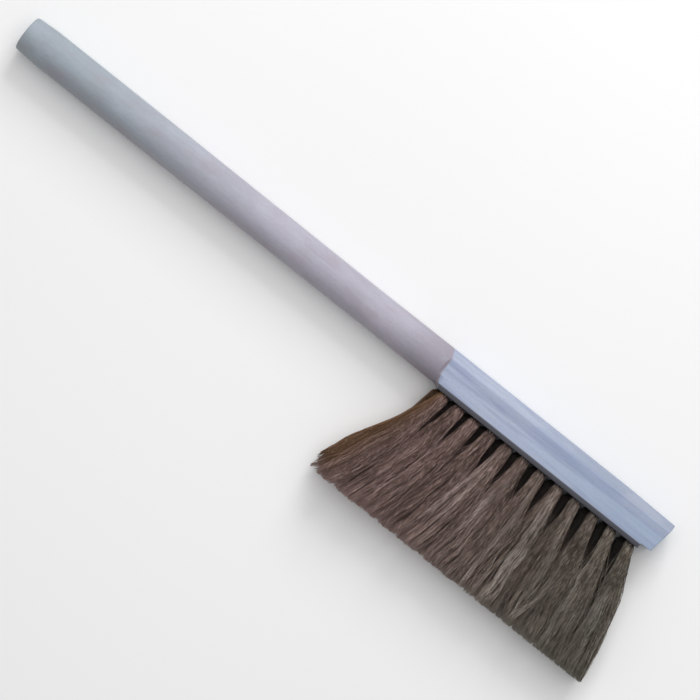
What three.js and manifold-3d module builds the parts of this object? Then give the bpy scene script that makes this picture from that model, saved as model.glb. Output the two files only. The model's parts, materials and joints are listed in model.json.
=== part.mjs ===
// A two-row bee brush, lying on its side. Its stock is one piece of wood: a round handle that runs
// into a head with flat sides, a rounded back and a flat face full of blind holes, undercut at its
// tip. Each hole holds a tuft of folded horsehair, and a flat wire anchor driven across the fold
// keeps the tuft in.
// Millimetres, +Z up. +X runs from the handle's end to the head's tip, and the hair points to -Y.

import * as THREE from "three";
import { mergeVertices } from "three/addons/utils/BufferGeometryUtils.js";
import Module from "manifold-3d";

// Stock, measured from the handle's end along the handle's axis
const STOCK_LENGTH = 400;
const HEAD_LENGTH = 136.5;
const HANDLE_RADIUS = 10; // along the grip
const HANDLE_END = { radius: 9.4, length: 12 }; // the grip narrows a little towards its end
const GRIP_LENGTH = 70;
const WAIST = { distance: 215, radius: 9.6 };
const NECK_RADIUS = 9.8; // where the handle meets the head
const HANDLE_END_ROUND = 1;
const HEAD_HALF = 8.5; // axis to each side flat
const BACK_RISE = 9.8; // axis to the crown of the rounded back
const FACE_DROP = 10.9; // axis to the hair face
const STOCK_SIDES = 64;
const STEP = (2 * Math.PI) / STOCK_SIDES;
const BACK_START = 5 * STEP; // angle, seen from the axis, where a side flat meets the back,
const BEVEL_START = -8 * STEP; // where it meets the lower bevel,
const FACE_START = -10 * STEP; // and where the bevel meets the hair face
const SHOULDER_RADIUS = 1.8; // cove that the flats' cutter leaves in the handle
const CORNER_RUN_IN = 2.4; // length over which the head's lower corners grow to full size
const TIP_CHAMFER = 0.4;
const TIP_SLANT = THREE.MathUtils.degToRad(8); // the tip is sawn a little longer at the back
const TIP_UNDERCUT = { length: 8.5, drop: 8 }; // past the last hole, up to this far from the axis
const CROWN_TAPER = { length: 30, rise: 9.1 }; // the back's crown falls to this rise at the tip
const ROUND_STEPS = [0, 30, 60, 90]; // degrees turned through by a rounded edge
const COVE_STEPS = [80, 65, 50, 35, 20, 0]; // and by the shoulder's cove

// Tufts
const TUFTS_PER_ROW = 12;
const ROW_OFFSET = 3.6; // each row's distance from the middle of the hair face
const REAR_ROW_BACK = 2; // the rear row sits this much nearer the handle
const FIRST_HOLE = 271.5; // distance from the handle's end
const FIRST_PITCH = 9.7;
const PITCH_GROWTH = 0.17; // each pitch is this much longer than the one before it
const HOLE_RADIUS = 2.8;
const HOLE_DEPTH = 11;
const DRILL_POINT = 1.2;
const FREE_LENGTH = 69.5; // hair face to the trimmed tips
const FIRST_TIP = 248; // where the first tuft's tips end, from the handle's end
const TIP_PITCH = 14.1;
const TIP_REACH = 10; // how far the tips spread from the middle plane
const FIRST_LEAN = -0.1; // slope of the first tuft's hole towards the head's tip
const LEAN_GROWTH = 0.035; // how much that slope grows from each hole to the next
const SWEEP_POWER = 1.6; // how late the hair turns from its hole's slope towards its tips
const FOLD_ROUND = 1.6;
const FOLD_RADIUS = 1.5;
const FLARE_STEPS = [0.15, 0.3, 0.45, 0.6, 0.8, 0.97, 1]; // shares of the free length
const FLARE_POWER = 1.8; // how early the tuft reaches its full width
const TIP_SQUARENESS = 0.35; // 0 is an ellipse and 1 is a rectangle

// Anchors of flat wire
const ANCHOR = { length: 6.4, depth: 2, thickness: 0.5 };
const ANCHOR_DEPTH = 8; // hair face to the anchor's middle, along the hole

const GAP = 0.3; // clearance between pieces that touch
const TIP_CLEARANCE = 0.1; // taken off each side of a tuft's tips as well
const TUFT_SIDES = 12;

const WOOD = new THREE.MeshStandardMaterial({ name: "wood", color: "#c9c6c8", roughness: 0.6 });
const HORSEHAIR = new THREE.MeshStandardMaterial({ name: "horsehair", color: "#6b5a50", roughness: 0.75 });
const STEEL = new THREE.MeshStandardMaterial({
  name: "steel",
  color: "#a9abad",
  roughness: 0.4,
  metalness: 1,
});

const wasm = await Module();
wasm.setup();

function toSolid(geometry) {
  const bare = geometry.clone();
  bare.deleteAttribute("normal");
  bare.deleteAttribute("uv");
  const merged = mergeVertices(bare);
  const vertProperties = new Float32Array(merged.attributes.position.array);
  const triVerts = new Uint32Array(merged.index.array);
  return new wasm.Manifold(new wasm.Mesh({ numProp: 3, vertProperties, triVerts }));
}

function toGeometry(solid) {
  const mesh = solid.getMesh();
  const geometry = new THREE.BufferGeometry();
  geometry.setAttribute("position", new THREE.BufferAttribute(mesh.vertProperties, 3));
  geometry.setIndex(new THREE.BufferAttribute(mesh.triVerts, 1));
  geometry.computeVertexNormals();
  return geometry;
}

// Distance from the axis, at an angle, to the straight line through two corners of the head
function toLine(angle, [z, y], [nextZ, nextY]) {
  const alongZ = nextZ - z;
  const alongY = nextY - y;
  return (z * alongY - y * alongZ) / (Math.cos(angle) * alongY - Math.sin(angle) * alongZ);
}

// Distance from the axis, at an angle, to the arc through the back's crown and both flats' ends
function toBack(angle, flatEnd) {
  const middle = (BACK_RISE ** 2 - HEAD_HALF ** 2 - flatEnd ** 2) / (2 * (BACK_RISE - flatEnd));
  const radius = BACK_RISE - middle;
  return middle * Math.sin(angle) + Math.sqrt(radius ** 2 - (middle * Math.cos(angle)) ** 2);
}

// The head's outline: distance from the axis at an angle that starts at a side flat (+Z) and grows
// towards the back (+Y). Both sides are alike.
function headOutline(around) {
  const angle = Math.asin(Math.sin(around));
  const flatEnd = HEAD_HALF * Math.tan(BACK_START);
  const bevelEnd = HEAD_HALF * Math.tan(BEVEL_START);
  const faceHalf = FACE_DROP / Math.tan(-FACE_START);
  if (angle > BACK_START) return toBack(angle, flatEnd);
  if (angle > BEVEL_START) return toLine(angle, [HEAD_HALF, flatEnd], [HEAD_HALF, bevelEnd]);
  if (angle > FACE_START) return toLine(angle, [HEAD_HALF, bevelEnd], [faceHalf, -FACE_DROP]);
  return toLine(angle, [faceHalf, -FACE_DROP], [-faceHalf, -FACE_DROP]);
}

// The same at the head's tip, where the back's crown is lower
function tipOutline(around) {
  if (Math.sin(around) <= 0) return headOutline(around);
  return Math.min(headOutline(around), CROWN_TAPER.rise / Math.sin(around));
}

// The stock's rings: a distance along the axis, and the outline's radius there at an angle
function stockRings() {
  const headStart = STOCK_LENGTH - HEAD_LENGTH;
  const rings = [{ x: 0, radius: () => 0 }];
  for (const turn of ROUND_STEPS) {
    const angle = THREE.MathUtils.degToRad(turn);
    const edge = HANDLE_END.radius - HANDLE_END_ROUND * (1 - Math.sin(angle));
    rings.push({ x: HANDLE_END_ROUND * (1 - Math.cos(angle)), radius: () => edge });
  }
  rings.push({ x: HANDLE_END.length, radius: () => HANDLE_RADIUS });
  rings.push({ x: GRIP_LENGTH, radius: () => HANDLE_RADIUS });
  rings.push({ x: WAIST.distance, radius: () => WAIST.radius });
  for (const turn of COVE_STEPS) {
    const angle = THREE.MathUtils.degToRad(turn);
    const rise = SHOULDER_RADIUS * (1 - Math.cos(angle));
    rings.push({
      x: headStart - SHOULDER_RADIUS * Math.sin(angle),
      radius: (around) => Math.min(NECK_RADIUS, headOutline(around) + rise),
    });
  }
  rings.push({ x: headStart + CORNER_RUN_IN, radius: headOutline });
  rings.push({ x: STOCK_LENGTH - CROWN_TAPER.length, radius: headOutline });
  rings.push({ x: STOCK_LENGTH - TIP_CHAMFER, radius: tipOutline, slant: TIP_SLANT });
  rings.push({
    x: STOCK_LENGTH,
    radius: (around) => tipOutline(around) - TIP_CHAMFER,
    slant: TIP_SLANT,
  });
  rings.push({ x: STOCK_LENGTH, radius: () => 0, slant: TIP_SLANT });
  return rings;
}

// A lathe turning whose every point is then moved in or out to its ring's outline
function stockBody() {
  const rings = stockRings();
  const profile = rings.map((ring, i) => new THREE.Vector2(i % (rings.length - 1) ? 1 : 0, i));
  const geometry = new THREE.LatheGeometry(profile, STOCK_SIDES);
  const place = geometry.attributes.position;
  for (let i = 0; i < place.count; i++) {
    const ring = rings[Math.round(place.getY(i))];
    const around = Math.atan2(place.getZ(i), place.getX(i));
    const radius = ring.radius(around);
    const y = radius * Math.sin(around);
    const z = radius * Math.cos(around);
    const sawn = ring.slant ? (BACK_RISE - y) * Math.tan(ring.slant) : 0;
    place.setXYZ(i, ring.x - sawn, y, z);
  }
  return geometry;
}

// A block wider than the head, cut away under its tip
function tipUndercut() {
  const { length, drop } = TIP_UNDERCUT;
  const box = new THREE.BoxGeometry(2 * length, drop, 4 * HEAD_HALF);
  return box.translate(STOCK_LENGTH, -1.5 * drop, 0);
}

// A round bar along -Y through stations of depth, half width, half thickness and squareness. Its
// free end sweeps along X, shifts along Z and is cut to the trim line.
function bar(stations) {
  const geometry = new THREE.CylinderGeometry(1, 1, 1, TUFT_SIDES, stations.length - 1);
  const place = geometry.attributes.position;
  for (let i = 0; i < place.count; i++) {
    const station = stations[Math.round((0.5 - place.getY(i)) * (stations.length - 1))];
    const { depth, width, thickness = width, squareness = 0 } = station;
    const { sweep = 0, shift = 0, trim = 0 } = station;
    const flatten = (value) => Math.sign(value) * Math.abs(value) ** (1 - squareness);
    const x = width * flatten(place.getX(i)) + sweep;
    const z = thickness * flatten(place.getZ(i));
    place.setXYZ(i, x, -depth - trim * x, z + shift);
  }
  return geometry;
}

function anchorBox(clearance) {
  const { length, depth, thickness } = ANCHOR;
  const box = new THREE.BoxGeometry(
    length + 2 * clearance,
    depth + 2 * clearance,
    thickness + 2 * clearance,
  );
  return box.translate(0, ANCHOR_DEPTH, 0);
}

function holeGeometry() {
  return bar([
    { depth: -HOLE_DEPTH - DRILL_POINT, width: GAP },
    { depth: -HOLE_DEPTH, width: HOLE_RADIUS },
    { depth: DRILL_POINT, width: HOLE_RADIUS },
  ]);
}

// side is +1 for the front row and -1 for the rear row, and reach is how far the tips' middle is
// from the hole's own line
function tuftGeometry(side, lean, reach) {
  const root = HOLE_RADIUS - GAP;
  const tipWidth = (TIP_PITCH / 2 - GAP) * Math.cos(lean) - TIP_CLEARANCE;
  const tipThickness = (TIP_REACH - GAP / 2) / 2;
  const tipShift = TIP_REACH - tipThickness - ROW_OFFSET;
  const stations = [
    { depth: GAP - HOLE_DEPTH, width: FOLD_RADIUS },
    { depth: FOLD_ROUND - HOLE_DEPTH, width: root },
    { depth: 0, width: root },
  ];
  for (const along of FLARE_STEPS) {
    const spread = 1 - (1 - along) ** FLARE_POWER;
    stations.push({
      depth: (along * FREE_LENGTH) / Math.cos(lean),
      width: THREE.MathUtils.lerp(root, tipWidth, spread),
      thickness: THREE.MathUtils.lerp(root, tipThickness, spread),
      squareness: TIP_SQUARENESS * spread,
      sweep: reach * Math.cos(lean) * along ** SWEEP_POWER,
      shift: side * tipShift * spread,
      trim: along * Math.tan(lean),
    });
  }
  const slot = toSolid(anchorBox(GAP));
  return toGeometry(toSolid(bar(stations)).subtract(slot));
}

const brush = new THREE.Group();
let stock = toSolid(stockBody()).subtract(toSolid(tipUndercut()));

for (const [row, side, back] of [["front", 1, 0], ["rear", -1, REAR_ROW_BACK]]) {
  for (let i = 0; i < TUFTS_PER_ROW; i++) {
    const mouth = FIRST_HOLE - back + i * FIRST_PITCH + (PITCH_GROWTH * i * (i - 1)) / 2;
    const tip = FIRST_TIP - back + i * TIP_PITCH;
    const lean = Math.atan(FIRST_LEAN + i * LEAN_GROWTH);
    const reach = tip - mouth - FREE_LENGTH * Math.tan(lean);

    const station = new THREE.Group();
    station.position.set(mouth, -FACE_DROP, side * ROW_OFFSET);
    station.rotation.z = lean;
    station.updateMatrix();

    const number = String(i + 1).padStart(2, "0");
    const tuft = new THREE.Mesh(tuftGeometry(side, lean, reach), HORSEHAIR);
    tuft.name = `${row}_tuft_${number}`;
    const anchor = new THREE.Mesh(anchorBox(0), STEEL);
    anchor.name = `${row}_anchor_${number}`;
    station.add(tuft, anchor);
    brush.add(station);

    const hole = toSolid(holeGeometry().applyMatrix4(station.matrix));
    const notch = toSolid(anchorBox(GAP).applyMatrix4(station.matrix));
    stock = stock.subtract(hole).subtract(notch);
  }
}

const handleStock = new THREE.Mesh(toGeometry(stock), WOOD);
handleStock.name = "handle_stock";
brush.add(handleStock);

// the origin is the middle of the brush's bounding box, on the surface that it lies on
const bounds = new THREE.Box3().setFromObject(brush, true);
const middle = bounds.getCenter(new THREE.Vector3());
brush.position.set(-middle.x, -middle.y, -bounds.min.z);

export default brush;
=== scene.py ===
# Looks for the two-row bee brush: pale wood for the stock, steel for the anchors, and horsehair
# made hair by hair around the CAD tufts. Metres, in the CAD model's own frame.

import json
import math
from collections import namedtuple

import bpy
import numpy as np
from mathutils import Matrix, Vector


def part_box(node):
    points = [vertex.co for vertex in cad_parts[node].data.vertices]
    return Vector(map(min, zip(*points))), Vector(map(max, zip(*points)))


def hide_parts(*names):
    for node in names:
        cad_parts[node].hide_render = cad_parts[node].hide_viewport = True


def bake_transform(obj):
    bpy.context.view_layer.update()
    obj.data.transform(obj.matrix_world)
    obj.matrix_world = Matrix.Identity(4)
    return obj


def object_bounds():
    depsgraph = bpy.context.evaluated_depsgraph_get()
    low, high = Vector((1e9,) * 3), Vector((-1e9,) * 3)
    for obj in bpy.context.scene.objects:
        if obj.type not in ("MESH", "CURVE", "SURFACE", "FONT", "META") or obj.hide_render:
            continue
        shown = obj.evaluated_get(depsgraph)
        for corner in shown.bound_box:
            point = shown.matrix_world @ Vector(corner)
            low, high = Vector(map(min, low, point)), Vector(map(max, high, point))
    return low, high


MM = 0.001
HANDLE_RADIUS = 10 * MM
HEAD_LENGTH = 136.4 * MM  # from where the planed wood starts to the head's tip
HAIR_START = 266.5 * MM  # where the hair's outline starts, from the handle's end
HAIR_STOP = 392.5 * MM  # and where it stops, near the head's tip

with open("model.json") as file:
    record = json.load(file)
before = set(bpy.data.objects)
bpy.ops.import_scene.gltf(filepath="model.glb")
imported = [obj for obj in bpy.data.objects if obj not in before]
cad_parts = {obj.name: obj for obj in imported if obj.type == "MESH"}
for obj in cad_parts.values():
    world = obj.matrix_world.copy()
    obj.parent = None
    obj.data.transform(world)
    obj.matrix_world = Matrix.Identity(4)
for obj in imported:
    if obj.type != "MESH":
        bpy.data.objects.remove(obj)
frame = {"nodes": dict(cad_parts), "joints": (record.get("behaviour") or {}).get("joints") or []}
cad_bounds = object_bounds()
stock_low, stock_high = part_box("handle_stock")
face_y = frame["joints"][0]["pos_m"][1]  # the hair face
axis_z = frame["joints"][0]["pos_m"][2]  # the handle's axis, and the plane between the rows
axis_y = stock_high.y - HANDLE_RADIUS
shoulder_x = stock_high.x - HEAD_LENGTH
tip_y = cad_bounds[0].y  # the trim line
roots_low = stock_low.x + HAIR_START
roots_high = stock_low.x + HAIR_STOP
tufts_per_row = sum(node.startswith("front_tuft") for node in frame["nodes"])

# ---------------------------------------------------------------- camera, floor and light

DISTANCE = 1600 * MM
VIEW_WIDTH = 344 * MM  # what the picture's width spans at the handle's axis
ROLL = math.radians(38.6)
AIM = Vector((stock_low.x + 221.3 * MM, axis_y - 22.9 * MM, axis_z))


def add_camera():
    camera = bpy.data.cameras.new("camera")
    camera.lens = camera.sensor_width * DISTANCE / VIEW_WIDTH
    camera.clip_start = 0.01
    body = bpy.data.objects.new("camera", camera)
    body.location = AIM + Vector((0, 0, DISTANCE))
    body.rotation_euler.z = ROLL
    bpy.context.scene.collection.objects.link(body)
    bpy.context.scene.camera = body


def add_area_light(name, direction, distance, size, power):
    light = bpy.data.lights.new(name, "AREA")
    light.size = size
    light.energy = power
    body = bpy.data.objects.new(name, light)
    away = Vector(direction).normalized()
    body.location = AIM + away * distance
    body.rotation_euler = away.to_track_quat("Z", "Y").to_euler()
    bpy.context.scene.collection.objects.link(body)


def add_world(strength):
    world = bpy.data.worlds.new("studio")
    world.use_nodes = True
    world.node_tree.nodes["Background"].inputs["Color"].default_value = (1, 1, 1, 1)
    world.node_tree.nodes["Background"].inputs["Strength"].default_value = strength
    bpy.context.scene.world = world


# ---------------------------------------------------------------- node helpers


def linear(red, green, blue):
    """A colour given as 0 to 255 display values."""
    values = [c / 255 for c in (red, green, blue)]
    return tuple(c / 12.92 if c <= 0.04045 else ((c + 0.055) / 1.055) ** 2.4 for c in values) + (1,)


class Nodes:
    """Builds one material's nodes. An input is a number, a colour or another node's output."""

    def __init__(self, name):
        self.material = bpy.data.materials.new(name)
        self.material.use_nodes = True
        self.tree = self.material.node_tree
        self.shader = self.tree.nodes["Principled BSDF"]

    def add(self, kind, inputs, output=0, **settings):
        made = self.tree.nodes.new("ShaderNode" + kind)
        for name, value in settings.items():
            setattr(made, name, value)
        for name, value in inputs.items():
            self.put(made.inputs[name], value)
        return made.outputs[output]

    def put(self, socket, value):
        if isinstance(value, bpy.types.NodeSocket):
            self.tree.links.new(value, socket)
        else:
            socket.default_value = value

    def math(self, operation, a, b=0.0):
        return self.add("Math", {0: a, 1: b}, operation=operation)

    def spread(self, value, low, high, to_low=0.0, to_high=1.0):
        """value's range from low to high, eased onto to_low to to_high."""
        ends = {1: low, 2: high, 3: to_low, 4: to_high}
        return self.add("MapRange", {0: value, **ends}, interpolation_type="SMOOTHSTEP")

    def mix(self, share, a, b, blend="MIX"):
        made = {"Factor": share, 6: a, 7: b}
        return self.add("Mix", made, output=2, data_type="RGBA", blend_type=blend)

    def layer(self, base, share, strength, colour):
        """A colour given as display values, laid over base where share is high."""
        return self.mix(self.math("MULTIPLY", share, strength), base, linear(*colour))

    def axes(self, where):
        return [self.add("SeparateXYZ", {0: where}, output=axis) for axis in range(3)]

    def noise(self, where, scale, detail=3.0, roughness=0.5, distortion=0.0):
        sizes = {"Scale": scale, "Detail": detail, "Roughness": roughness, "Distortion": distortion}
        return self.add("TexNoise", {"Vector": where, **sizes})

    def stretched(self, where, scale, offset=(0, 0, 0)):
        return self.add("Mapping", {"Vector": where, "Scale": scale, "Location": offset})

    def bump(self, height, distance, strength=1.0):
        made = {"Height": height, "Distance": distance, "Strength": strength}
        return self.add("Bump", made)

    def shade(self, **inputs):
        for name, value in inputs.items():
            self.put(self.shader.inputs[name.replace("_", " ")], value)
        return self.material


# ---------------------------------------------------------------- materials

CORNER_CURVE = 42  # per metre: how fast the planed head's start curves away at the lower corner
BACK_SLANT = 0.4  # and its slope on the back


def past_shoulder(n, x, rise):
    """How far a point is past the planed head's start, which curves away at the lower corner and on
    the back."""
    below = n.math("MAXIMUM", n.math("SUBTRACT", -2 * MM, rise), 0)
    above = n.math("MAXIMUM", n.math("SUBTRACT", rise, 4.5 * MM), 0)
    curve = n.math("MULTIPLY", n.math("POWER", below, 2), CORNER_CURVE)
    curve = n.math("SUBTRACT", curve, n.math("MULTIPLY", above, BACK_SLANT))
    return n.math("SUBTRACT", n.math("SUBTRACT", x, shoulder_x), curve)


def handle_colour(n, x, rise, clouds, streaks, mottle):
    """From a greenish grey at the handle's end to a lilac grey, darker by the head, and with painted
    shade along its lower side.
    """
    along = n.spread(x, stock_low.x, shoulder_x - 60 * MM)
    by_head = n.spread(x, shoulder_x - 36 * MM, shoulder_x)
    base = n.mix(along, linear(154, 167, 175), linear(181, 176, 190))
    base = n.layer(base, by_head, 0.75, (143, 134, 147))
    base = n.layer(base, n.spread(clouds, 0.35, 0.7), 0.35, (150, 150, 160))
    base = n.layer(base, n.spread(streaks, 0.5, 0.7), 0.1, (150, 140, 156))
    base = n.layer(base, n.spread(mottle, 0.5, 0.68), 0.22, (160, 142, 150))
    base = n.layer(base, n.spread(mottle, 0.5, 0.34), 0.22, (176, 184, 198))
    # painted shade: darker towards the lower side, turned away from the key light
    return n.layer(base, n.spread(rise, -4 * MM, -9.5 * MM), 0.2, (140, 128, 124))


def head_colour(n, x, rise, bands, waves, streaks, clouds):
    """Bluer, with a darker band of wavy grain along the upper half of each flat, and painted shade
    on the back.
    """
    far = n.spread(x, shoulder_x + 20 * MM, stock_high.x - 10 * MM)
    base = n.mix(far, linear(178, 187, 210), linear(159, 175, 199))
    base = n.layer(base, n.spread(bands, 0.35, 0.65), 0.3, (150, 162, 188))
    wander = n.math("MULTIPLY", n.math("SUBTRACT", bands, 0.5), 8 * MM)
    height = n.math("ADD", rise, wander)
    band_low = n.spread(height, -1 * MM, 1 * MM)
    band_high = n.spread(height, 4.8 * MM, 4.2 * MM)
    base = n.layer(base, n.math("MULTIPLY", band_low, band_high), 0.5, (140, 152, 182))
    base = n.layer(base, n.spread(waves, 0.5, 0.66), 0.35, (132, 144, 176))
    # painted shade on the back above the flats, stronger towards the head's tip
    back = n.math("MULTIPLY", n.spread(rise, 4.2 * MM, 6 * MM), n.spread(far, 0, 1, 0.35, 0.75))
    base = n.mix(back, base, linear(146, 154, 172))
    base = n.layer(base, n.spread(streaks, 0.52, 0.66), 0.3, (138, 146, 174))
    return n.layer(base, n.spread(clouds, 0.5, 0.7), 0.25, (186, 190, 204))


def add_dirt_and_painted_shade(n, base, rise, past):
    """Painted shade, with some dirt from the hive, darkens the hair face and the bevels beside it;
    painted shade alone darkens the handle's lower corner by the head.
    """
    on_head = n.spread(past, -0.4 * MM, 0.2 * MM)
    # painted shade, with some dirt, on the lower bevels, darkest towards the hair face
    worked = n.math("MULTIPLY", n.spread(rise, -8.4 * MM, -8.8 * MM), on_head)
    bevel_shade_and_dirt = n.mix(n.spread(rise, -8.6 * MM, -10.6 * MM), linear(80, 74, 76), linear(50, 42, 40))
    base = n.mix(n.math("MULTIPLY", worked, 0.85), base, bevel_shade_and_dirt)
    # painted shade on the handle's lower corner by the head
    by_shoulder = n.spread(past, -3.5 * MM, -1 * MM)
    corner = n.math("MULTIPLY", n.spread(rise, -7.8 * MM, -9.2 * MM), by_shoulder)
    base = n.layer(base, n.math("SUBTRACT", corner, worked), 0.7, (98, 88, 92))
    # painted shade: the hair face between the tufts is near black
    return n.mix(n.spread(rise, -10.7 * MM, -10.9 * MM), base, linear(22, 19, 18))


def wood():
    n = Nodes("wood")
    where = n.add("TexCoord", {}, output="Object")
    x, y, _ = n.axes(where)
    rise = n.math("SUBTRACT", y, axis_y)
    past = past_shoulder(n, x, rise)

    # grain, from broad bands down to fibres
    bands = n.noise(n.stretched(where, (5, 170, 110)), 1, detail=2, distortion=0.6)
    waves = n.noise(n.stretched(where, (18, 300, 300)), 1, detail=2, distortion=0.7)
    streaks = n.noise(n.stretched(where, (14, 420, 420)), 1, detail=3, distortion=0.4)
    fibres = n.noise(n.stretched(where, (40, 1300, 1300)), 1, detail=4, roughness=0.6)
    clouds = n.noise(n.stretched(where, (40, 90, 90)), 1, detail=3)
    mottle = n.noise(n.stretched(where, (70, 130, 130), (0.3, 0.1, 0)), 1, detail=4, roughness=0.6)
    specks = n.noise(n.stretched(where, (700, 1400, 1400)), 1, detail=2)
    flecks = n.noise(n.stretched(where, (260, 1100, 1100)), 1, detail=2)

    handle = handle_colour(n, x, rise, clouds, streaks, mottle)
    head = head_colour(n, x, rise, bands, waves, streaks, clouds)
    base = n.mix(n.spread(past, -0.5 * MM, 0.1 * MM), handle, head)
    base = n.layer(base, n.spread(fibres, 0.45, 0.75), 0.12, (132, 130, 142))
    base = n.layer(base, n.spread(specks, 0.5, 0.7), 0.12, (120, 118, 128))
    base = n.layer(base, n.spread(flecks, 0.64, 0.76), 0.12, (112, 104, 108))
    base = add_dirt_and_painted_shade(n, base, rise, past)

    relief = n.math("ADD", n.math("MULTIPLY", fibres, 0.4), n.math("MULTIPLY", specks, 0.6))
    roughness = n.spread(fibres, 0.3, 0.7, 0.6, 0.8)
    return n.shade(Base_Color=base, Roughness=roughness, Normal=n.bump(relief, 0.12 * MM, 0.5))


def horsehair():
    n = Nodes("horsehair")
    where = n.add("TexCoord", {}, output="Object")
    x, y, z = n.axes(where)
    tone = n.add("Attribute", {}, output="Fac", attribute_name="tone")
    worn = n.add("Attribute", {}, output="Fac", attribute_name="worn")
    patches = n.noise(n.stretched(where, (420, 80, 420)), 1, detail=4, roughness=0.65)
    fuzz = n.noise(n.stretched(where, (1500, 260, 1500)), 1, detail=2)
    blots = n.noise(n.stretched(where, (130, 50, 130)), 1, detail=3, roughness=0.6)
    cloud = n.noise(where, 60, detail=2)
    base = n.mix(n.spread(tone, 0.0, 0.5), linear(74, 58, 51), linear(156, 136, 128))
    base = n.mix(n.spread(tone, 0.5, 1.0), base, linear(232, 222, 220))
    # tones below 0 are the painted shade round the tufts' roots
    base = n.mix(n.spread(tone, 0.0, -0.3), base, linear(24, 20, 18))
    base = n.layer(base, n.spread(patches, 0.52, 0.32), 0.65, (72, 56, 48))
    base = n.layer(base, n.spread(patches, 0.5, 0.7), 0.6, (186, 170, 164))
    base = n.layer(base, n.spread(cloud, 0.45, 0.7), 0.25, (136, 126, 120))
    base = n.layer(base, n.spread(blots, 0.5, 0.36), 0.5, (78, 60, 48))
    base = n.layer(base, n.spread(fuzz, 0.52, 0.36), 0.6, (66, 52, 44))
    base = n.layer(base, n.spread(fuzz, 0.53, 0.68), 0.6, (206, 194, 190))

    # paler towards the tips, golden where it is worn, and more olive towards the head's tip
    tips = n.spread(y, face_y - 15 * MM, tip_y)
    base = n.layer(base, tips, 0.28, (160, 146, 140))
    ends = n.spread(y, tip_y + 9 * MM, tip_y + 1 * MM)
    base = n.layer(base, ends, 0.42, (196, 182, 178))
    base = n.layer(base, worn, 0.85, (124, 98, 62))

    # painted shade between the rows, close to the wood
    depth = n.math("ABSOLUTE", n.math("SUBTRACT", z, axis_z))
    near_wood = n.spread(y, face_y - 27 * MM, face_y - 9 * MM)
    between = n.math("MULTIPLY", n.spread(depth, 5 * MM, 3 * MM), near_wood)
    between = n.math("MULTIPLY", between, n.spread(worn, 0.8, 0.2, 0.3, 0.9))
    base = n.mix(between, base, linear(30, 24, 21))
    cast = n.mix(n.spread(x, shoulder_x, stock_high.x), linear(253, 233, 231), linear(206, 215, 204))
    base = n.mix(1.0, base, cast, "MULTIPLY")
    roughness = n.spread(cloud, 0.3, 0.7, 0.45, 0.65)
    return n.shade(Base_Color=base, Roughness=roughness)


def anchor_steel():
    n = Nodes("anchor_steel")
    where = n.add("TexCoord", {}, output="Object")
    drawn = n.noise(n.stretched(where, (200, 4000, 4000)), 1, detail=3)
    base = n.mix(n.spread(drawn, 0.3, 0.7), linear(150, 152, 156), linear(198, 200, 204))
    roughness = n.spread(drawn, 0.3, 0.7, 0.3, 0.5)
    return n.shade(Base_Color=base, Roughness=roughness, Metallic=1.0)


def pale_floor():
    n = Nodes("pale_floor")
    where = n.add("TexCoord", {}, output="Object")
    haze = n.noise(where, 3, detail=1)
    base = n.mix(haze, linear(248, 248, 248), linear(252, 252, 252))
    return n.shade(Base_Color=base, Roughness=0.9)


# ---------------------------------------------------------------- hair

HAIRS = 240  # folded hairs in a tuft: each has two free ends
HAIR_RADIUS = 0.12 * MM
TIP_RADIUS = 0.1 * MM
THICKNESS = (0.75, 1.25)  # a hair's radii are multiplied by something between these
SIDES = 3
FREE_STEPS = 16
STEP_POWER = 1.2  # above 1, the steps are closer together near the hole

# how a tuft opens from its hole to its tips, which reach a little past the CAD tuft's
ROOT_SPREAD = 2.45 * MM  # the radius of the hair in its hole
REACH = [1.12, 1.04]  # along the head and through it
CORNER_FILL = 0.25  # hairs move towards the corners of the tips
SCATTER = 0.9 * MM  # how unevenly the tips are spread
# how much a tuft spreads as it leaves its hole: the front row from end to end, and the rear row
SWELL = {"first": 1.48, "last": 1.22, "rear": 1.9}
SWEEP_POWER = 1.6  # how late they turn from the hole's direction towards their tips
OPENING = {"front": (1.7, 3.2), "rear": (2.2, 5.0)}  # how quickly they spread after that,
DELAY = {"front": 2.2, "rear": 1.3}  # and how late they start
END_STRETCH = 1.5  # the hair's two ends lie a little further out than the rest

# wisps: hairs gather along their whole length, and close further towards their tips
WISPS = 18
GATHER = (0.0, 0.6)
CLOSE = (0.2, 0.75)
CLOSE_START = 0.5
CLOSE_POWER = 1.5
END_LOOSENESS = 0.35  # a share of both, in the end tufts
LEANING_SHARE = 0.5  # these wisps lean across the others, on the outside
LEAN = 5 * MM
DRIFT = 1 * MM  # how far the other wisps lean
LIFT = 1.4 * MM

# lengths: shares of the free length, but for the two in mm
LONGEST = 1.004
LENGTH_SPREAD = 0.012
SHORT_SHARE = 0.06  # broken hairs,
SHORTER = (0.03, 0.3)  # and how much of the length they lack
WISP_SHORTFALL = 0.9 * MM
WORN_WIDTH = 11 * MM  # the hairs nearest the handle are worn short
WORN_SHARE = 0.12
WORN_POWER = 1.5

# strays lean out of their wisp, and every wisp and hair has slow waves
STRAY_SHARE = 0.1
STRAY_LEAN = [4 * MM, 1 * MM]
DEPTH_MARGIN = 1.2 * MM  # how far hairs may go past the CAD tuft's depth,
TOP_MARGIN = 1 * MM  # and past the handle's top
WISP_WAVE = 0.8 * MM
HAIR_WAVE = 1.3 * MM
WAVE_CYCLES = (0.5, 4.0)
WAVE_REACH = (0.3, 1.0)

# the hair's outline: shares of the free length, and how far out it is there on either side
LOW_EDGE = ([0, 0.22, 0.36, 0.51, 0.66, 0.88, 1], [1, 3.8, 8.0, 14.0, 20.2, 26.0, 27.2])
HIGH_EDGE = ([0, 0.07, 0.22, 0.37, 0.52, 0.67, 0.82, 1], [1, 2.6, 6.0, 9.4, 12.4, 15.0, 16.8, 18.6])
WISP_INSET = 1.3 * MM  # how ragged it is
HAIR_INSET = 0.5 * MM
RAGGEDNESS = 0.4
RAGGED_TURNS = 9  # radians from the roots to the tips,
RAGGED_PHASE = 6  # and how far wisps can differ
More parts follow.
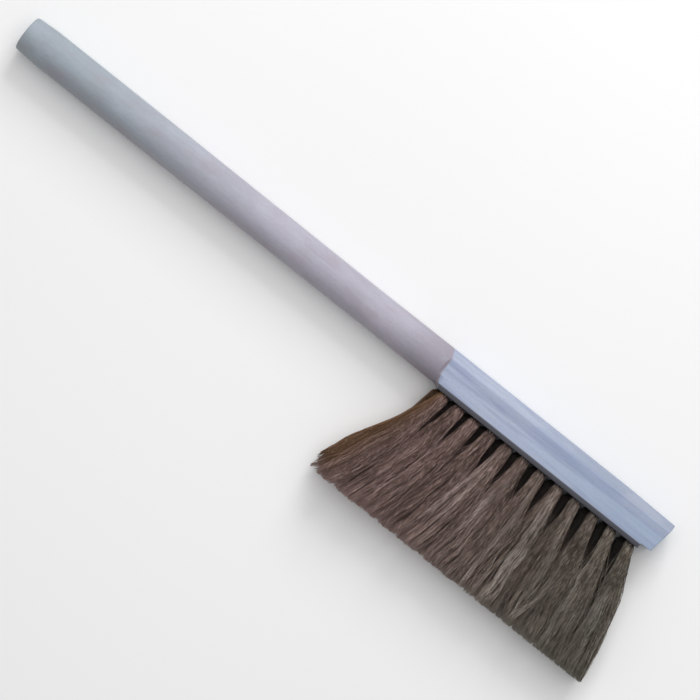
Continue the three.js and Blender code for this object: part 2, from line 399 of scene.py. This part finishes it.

# hairs' tones, from 0 for dark to 1 for pale: their own, with painted light and shade added
LOWEST_TONE = -0.05
WISP_TONE = 0.5
HAIR_TONE = 0.3
# painted light and shade: hairs on the outside of a row are lighter, the inner ones darker
OUTER_PAINTED_LIGHT = 0.12
# bright leaning wisps get a painted glint, as pale hairs do
BRIGHT_SHARE = 0.6  # of the leaning wisps
BRIGHT = (0.15, 0.5)
PALE_SHARE = 0.11  # of all hairs
PALE = (0.3, 0.6)
# painted glint: real pale hairs and bright wisps are palest round this place, as a highlight
GLINT_PLACE = (0.5, 0.95)  # where along it a hair is palest
GLINT_SPREAD = 0.06
GLINT_LENGTH = 0.2
TONE_WANDER = 0.09
TONE_CYCLES = (1.5, 4)
TONE_PACE = (0.7, 1.4)
RIM_SHADE = 0.7  # round the tuft's rim,
RIM_SHADE_LENGTH = 0.05  # for this share of the length,
ROOT_SHADE_LENGTH = 0.015  # and across its whole root
SHADE_TONE = -0.3  # the tone there, darker than any hair's own

# a hair's fold, from the anchor's middle
FOLD_HALF = 1.2 * MM
FOLD_TOP = 2 * MM
FOLD_BOTTOM = 2.4 * MM
FOLD_SCATTER = [2.0 * MM, 0.2 * MM, 0]
FOLD_NARROWING = [0.6, 1, 0]  # what is left of the scatter at the bottom

TRIM_DEPTH = 1 * MM  # a CAD tuft's vertices this near the trim line belong to its tips
ACROSS = np.array([0.12, 0.05, 1.0])  # a direction that no hair takes

Tuft = namedtuple("Tuft", "row place anchor out mouth tip half")


def read_tuft(node):
    """Where a CAD tuft is: its place in its row, from 0 to 1, its anchor's middle, the hole's
    direction, the mouth, and the tips' middle and half size."""
    row, _, number = node.split("_")
    place = (int(number) - 1) / (tufts_per_row - 1)
    places = np.array([v.co for v in frame["nodes"][node].data.vertices])
    ends = places[places[:, 1] < tip_y + TRIM_DEPTH]
    tip = (ends.min(0) + ends.max(0)) / 2
    half = (ends.max(0) - ends.min(0)) / 2

    # the anchor lies square across its hole
    corners = np.array([v.co for v in frame["nodes"][node.replace("tuft", "anchor")].data.vertices])
    anchor = corners.mean(0)
    right = corners[:, 0] > anchor[0]
    along = corners[right].mean(0) - corners[~right].mean(0)
    out = np.array([along[1], -along[0], 0]) / np.hypot(along[0], along[1])
    mouth = anchor + out * (face_y - anchor[1]) / out[1]
    return Tuft(row, place, anchor, out, mouth, tip, half)


def disc(count, rng):
    """Points spread evenly over a unit disc, in no order."""
    radius = np.sqrt((np.arange(count) + 0.5) / count)
    angle = np.arange(count) * math.pi * (3 - math.sqrt(5)) + rng.uniform(0, 2 * math.pi)
    return rng.permutation(np.stack([radius * np.cos(angle), radius * np.sin(angle)], 1))


def looseness(tuft):
    return END_LOOSENESS if tuft.place in (0, 1) else 1


def place_hairs(tuft, count, rng):
    """Each hair's place in the unit disc of the hole, its aim from the tips' middle, its wisp."""
    half = tuft.half[[0, 2]]
    root = disc(count, rng)
    filled = root * (1 + CORNER_FILL * np.minimum(np.abs(root), np.abs(root[:, ::-1])))
    aim = filled * half * REACH + rng.normal(0, SCATTER, (count, 2))
    if tuft.place in (0, 1):
        outer = aim[:, 0] < 0 if tuft.place == 0 else aim[:, 0] > 0
        aim[:, 0] *= np.where(outer, END_STRETCH, 1)

    centres = disc(WISPS, rng) * half
    wisp = np.argmin(((aim[:, None] - centres[None]) ** 2).sum(2), 1)
    pull = looseness(tuft) * rng.uniform(*GATHER, WISPS)[wisp][:, None]
    return root, aim + pull * (centres[wisp] - aim), wisp


def hair_lengths(count, rng):
    length = LONGEST - np.abs(rng.normal(0, LENGTH_SPREAD, count))
    short = rng.random(count) < SHORT_SHARE
    length[short] -= rng.uniform(*SHORTER, short.sum())
    return length


def add_wave(values, t, group, size, rng):
    """Each group of hairs sways together, and more towards the tips."""
    groups = group.max() + 1
    phase = rng.uniform(0, 2 * math.pi, groups)[group][:, None]
    cycles = rng.uniform(*WAVE_CYCLES, groups)[group][:, None]
    reach = rng.uniform(*WAVE_REACH, groups)[group][:, None] * size
    values += reach * t * np.sin(2 * math.pi * cycles * t + phase)


def close_wisps(tuft, x, z, t, wisp, rng):
    sizes = np.maximum(np.bincount(wisp, minlength=WISPS), 1)
    close = looseness(tuft) * rng.uniform(*CLOSE, WISPS)[wisp][:, None]
    close = close * np.clip((t - CLOSE_START) / (1 - CLOSE_START), 0, 1) ** CLOSE_POWER
    for values in (x, z):
        middle = np.stack([np.bincount(wisp, v, WISPS) for v in values.T], 1) / sizes[:, None]
        values += close * (middle[wisp] - values)


def keep_inside(x, z, t, run, wisp, rng):
    """The places again, within the hair's ragged outline and above the floor."""
    inset = np.abs(rng.normal(0, WISP_INSET, WISPS))[wisp]
    inset = inset + np.abs(rng.normal(0, HAIR_INSET, len(x)))
    phase = RAGGED_PHASE * rng.random(WISPS)[wisp][:, None]
    inset = inset[:, None] * t**0.5 * (1 + RAGGEDNESS * np.sin(RAGGED_TURNS * t + phase))
    low = roots_low - np.interp(run, *LOW_EDGE) * MM + inset
    high = roots_high + np.interp(run, *HIGH_EDGE) * MM - inset
    return np.clip(x, low, high), np.clip(z, HAIR_RADIUS * 2, 2 * axis_z + TOP_MARGIN)


def tone_along(tone, paler, root, t, wisp, rng):
    """A hair's tone wanders along it, pale hairs and bright wisps get a painted glint, and painted
    shade darkens the tufts round their roots.
    """
    # painted glint: paler round a place along the hair
    glint = rng.uniform(*GLINT_PLACE, WISPS)[wisp] + rng.normal(0, GLINT_SPREAD, len(tone))
    near = np.exp(-(((t - glint[:, None]) / GLINT_LENGTH) ** 2))
    tone = tone[:, None] + paler[:, None] * near
    for cycles in TONE_CYCLES:
        phase = rng.uniform(0, 2 * math.pi, len(tone))[:, None]
        pace = rng.uniform(*TONE_PACE, len(tone))[:, None]
        tone = tone + TONE_WANDER * np.sin(2 * math.pi * cycles * pace * t + phase)

    # painted shade round the roots
    rim = RIM_SHADE * root[:, :1] ** 2 * np.exp(-t / RIM_SHADE_LENGTH)
    shade = np.clip(rim + np.exp(-t / ROOT_SHADE_LENGTH), 0, 1)
    return np.clip(tone, 0, 1) * (1 - shade) + SHADE_TONE * shade


def free_ends(tuft, count, rng):
    """Free hairs from the mouth to the tips: paths (count x steps x 3), tones and wear."""
    out, mouth, tip, half = tuft.out, tuft.mouth, tuft.tip, tuft.half
    outside = math.copysign(1, tip[2] - axis_z)
    root, aim, wisp = place_hairs(tuft, count, rng)
    leaning = rng.random(WISPS) < LEANING_SHARE
    bend = np.where(leaning, rng.normal(0, LEAN, WISPS), rng.normal(0, DRIFT, WISPS))[wisp]
    lift = np.where(leaning, outside * LIFT, 0)[wisp]
    shortfall = np.abs(rng.normal(0, WISP_SHORTFALL, WISPS))[wisp]
    length = hair_lengths(count, rng)

    tone = WISP_TONE * rng.random(WISPS)[wisp] + HAIR_TONE * rng.random(count) + LOWEST_TONE
    # painted light on the outer hairs and painted shade on the inner ones
    tone += OUTER_PAINTED_LIGHT * outside * root[:, 1]
    # painted glint on some leaning wisps; the pale hairs below keep their own paleness, shown round
    # the same glint
    bright = leaning & (rng.random(WISPS) < BRIGHT_SHARE)
    paler = np.where(bright, rng.uniform(*BRIGHT, WISPS), 0)[wisp]

    stray = rng.random(count) < STRAY_SHARE
    aim[stray] += rng.normal(0, STRAY_LEAN, (stray.sum(), 2))
    aim[:, 1] = np.clip(aim[:, 1], -half[2] - DEPTH_MARGIN, half[2] + DEPTH_MARGIN)
    pale = rng.random(count) < PALE_SHARE
    paler = paler + np.where(pale, rng.uniform(*PALE, count), 0)
    edge = roots_low - LOW_EDGE[1][-1] * MM
    worn = np.clip((edge + WORN_WIDTH - tip[0] - aim[:, 0]) / WORN_WIDTH, 0, 1)
    length -= WORN_SHARE * worn**WORN_POWER

    # from the hole's direction and round outline to the tips' place and outline
    t = np.linspace(0, 1, FREE_STEPS + 1)[None, :] ** STEP_POWER
    quickness = rng.uniform(*OPENING[tuft.row], count)[:, None]
    opening = (1 - (1 - t) ** quickness) ** DELAY[tuft.row]
    swell = SWELL["first"] + (SWELL["last"] - SWELL["first"]) * tuft.place
    swell = np.where(t > 0, swell if tuft.row == "front" else SWELL["rear"], 1)
    base = root * ROOT_SPREAD
    run = t * length[:, None]
    drop = mouth[1] - tip[1]
    lean = -out[0] / out[1] * drop
    x = mouth[0] + lean * run + (tip[0] - mouth[0] - lean) * run**SWEEP_POWER + bend[:, None] * t**2
    x = x + base[:, :1] * swell * (1 - opening) + aim[:, :1] * opening
    y = mouth[1] - drop * run + shortfall[:, None] * t
    z = mouth[2] + (tip[2] - mouth[2]) * opening
    z = z + base[:, 1:] * swell * (1 - opening) + aim[:, 1:] * opening + lift[:, None] * t**2

    for size, group in ((WISP_WAVE, wisp), (HAIR_WAVE, np.arange(count))):
        for values in (x, z):
            add_wave(values, t, group, size, rng)
    close_wisps(tuft, x, z, t, wisp, rng)
    x, z = keep_inside(x, z, t, run, wisp, rng)
    tone = tone_along(tone, paler, root, t, wisp, rng)
    return np.stack([x, y, z], 2), tone, np.broadcast_to(worn[:, None], tone.shape)


def tubes(paths, radii):
    """Closed tubes with SIDES sides along paths (count x steps x 3): vertices and faces."""
    count, steps, _ = paths.shape
    ahead = np.gradient(paths, axis=1)
    ahead /= np.linalg.norm(ahead, axis=2, keepdims=True)
    side = np.cross(ahead, ACROSS)
    side /= np.linalg.norm(side, axis=2, keepdims=True)
    other = np.cross(ahead, side)
    angles = 2 * math.pi * np.arange(SIDES) / SIDES
    ring = np.cos(angles)[:, None] * side[:, :, None] + np.sin(angles)[:, None] * other[:, :, None]
    places = paths[:, :, None] + ring * radii[:, :, None, None]

    first = (np.arange(count) * steps * SIDES)[:, None, None]
    step = (np.arange(steps - 1) * SIDES)[None, :, None]
    here = np.arange(SIDES)[None, None, :]
    after = (here + 1) % SIDES
    a, b = first + step + here, first + step + after
    quads = np.stack([a, b, b + SIDES, a + SIDES], -1).reshape(-1, 4)
    low_cap = first[:, 0] + np.arange(SIDES)[None, ::-1]
    high_cap = first[:, 0] + (steps - 1) * SIDES + np.arange(SIDES)[None]
    return places.reshape(-1, 3), quads.tolist() + low_cap.tolist() + high_cap.tolist()


def fold(ends, turn):
    """Joins the free ends in pairs: in from one tip, round the turn, and out to another tip."""
    return np.concatenate([ends[:HAIRS, ::-1], turn, ends[HAIRS:]], axis=1)


def hair_tuft(node, material, seed):
    rng = np.random.default_rng(seed)
    tuft = read_tuft(node)
    ends, tone, worn = free_ends(tuft, 2 * HAIRS, rng)

    # each hair goes down one side of the anchor, round it, and back up the other side
    offset = rng.uniform(-1, 1, (HAIRS, 3)) * FOLD_SCATTER
    beside = tuft.anchor + tuft.out * FOLD_TOP + offset
    across = np.array([0, 0, FOLD_HALF])
    bottom = tuft.anchor - tuft.out * FOLD_BOTTOM + offset * FOLD_NARROWING
    turn = np.stack([beside + across, bottom, beside - across], 1)
    leg = np.linspace(0, 1, FREE_STEPS + 1)
    along = np.concatenate([leg[::-1], np.zeros(turn.shape[1]), leg])
    thick = rng.uniform(*THICKNESS, HAIRS)[:, None]
    radii = thick * (HAIR_RADIUS + (TIP_RADIUS - HAIR_RADIUS) * along[None] ** 3)

    places, faces = tubes(fold(ends, turn), radii)
    mesh = bpy.data.meshes.new(node.replace("tuft", "hair"))
    mesh.from_pydata(places.tolist(), [], faces)
    mesh.polygons.foreach_set("use_smooth", [True] * len(faces))
    mesh.materials.append(material)
    for name, values in (("tone", tone), ("worn", worn)):
        every = fold(values, np.repeat(values[:HAIRS, :1], turn.shape[1], axis=1))
        layer = mesh.attributes.new(name, "FLOAT", "POINT")
        layer.data.foreach_set("value", np.repeat(every.ravel(), SIDES).astype(np.float32))
    piece = bpy.data.objects.new(mesh.name, mesh)
    bpy.context.scene.collection.objects.link(piece)
    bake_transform(piece)
    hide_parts(node)


# ---------------------------------------------------------------- the scene

bpy.context.scene.view_settings.view_transform = "Standard"
add_camera()
add_world(0.35)
add_area_light("key", (-0.15, 1.0, 0.66), 1.5, 0.7, 10)
add_area_light("softbox", (0, 0.36, 1.0), 2.2, 2.5, 26)

bpy.ops.mesh.primitive_plane_add(size=8, location=(0, 0, 0))
floor = bpy.context.object
floor.name = "floor"
floor.data.materials.append(pale_floor())

hair = horsehair()
steel = anchor_steel()
frame["nodes"]["handle_stock"].material_slots[0].material = wood()
for seed, node in enumerate(sorted(frame["nodes"])):
    if "anchor" in node:
        frame["nodes"][node].material_slots[0].material = steel
    elif "tuft" in node:
        hair_tuft(node, hair, seed)
